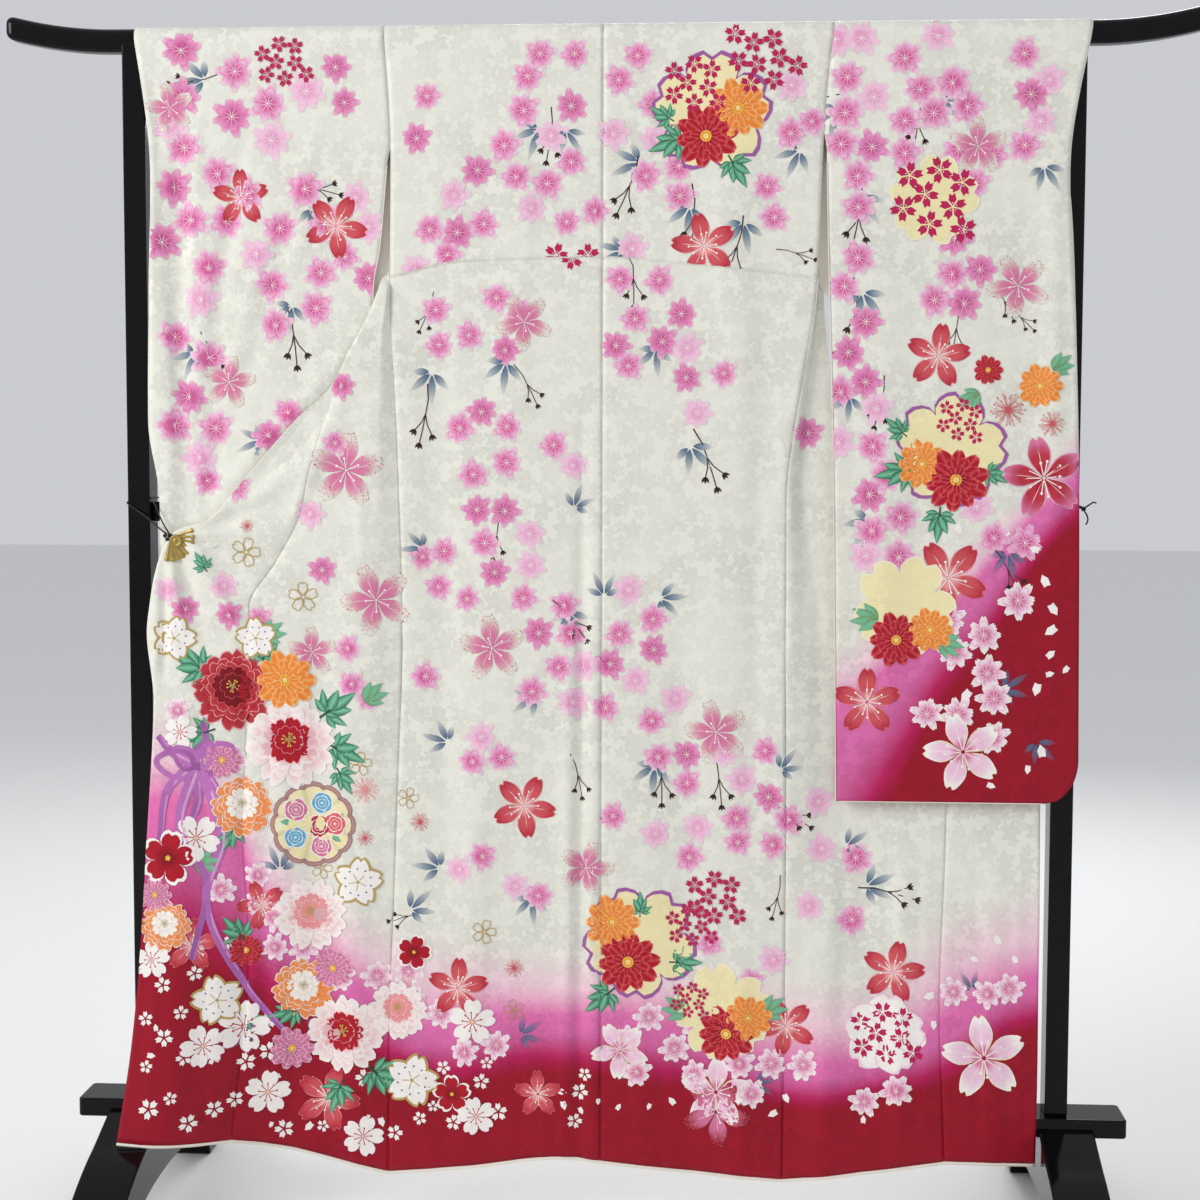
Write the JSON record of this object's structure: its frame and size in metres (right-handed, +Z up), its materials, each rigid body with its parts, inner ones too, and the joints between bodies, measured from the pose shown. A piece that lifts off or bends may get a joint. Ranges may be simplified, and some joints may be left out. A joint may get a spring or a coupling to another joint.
{
  "type": "furisode kimono on a kimono stand",
  "caption": "Long-sleeved formal kimono with a floral print, hung by its sleeves from the bar of a black lacquered stand, back outwards and both fronts spread to the sides.",
  "frame": {"origin": "middle of the stand's footprint, on the floor", "axes": "+X to the right along the bar, seen from the side that the kimono's back faces; +Y away from that side; +Z up"},
  "size_m": [1.69, 0.592, 1.7369],
  "materials": {
    "silk": "satin damask silk, printed with flowers, crimson towards the hem",
    "lining": "plain white silk, rolled out at the hem",
    "lacquer": "black lacquer, glossy",
    "brass": "aged gold-coloured brass",
    "cord": "black round cord, matt"
  },
  "bodies": {
    "root": {"back_left": "silk", "back_right": "silk", "sleeve_left": "silk", "sleeve_right": "silk", "front_left": "silk", "okumi_left": "silk", "front_right": "silk", "okumi_right": "silk", "collar": "silk", "hem_roll": "lining", "bar": "lacquer", "post_left": "lacquer", "post_right": "lacquer", "rail": "lacquer", "block_left": "lacquer", "block_right": "lacquer", "foot_left": "lacquer", "foot_right": "lacquer", "fan_clip": "brass", "fan_hub": "brass", "cord_left": "cord", "knot_left": "cord", "ball_upper": "cord", "ball_lower": "cord", "cord_right": "cord", "knot_right": "cord", "cord_end_upper": "cord", "cord_end_lower": "cord"}
  },
  "joints": []
}
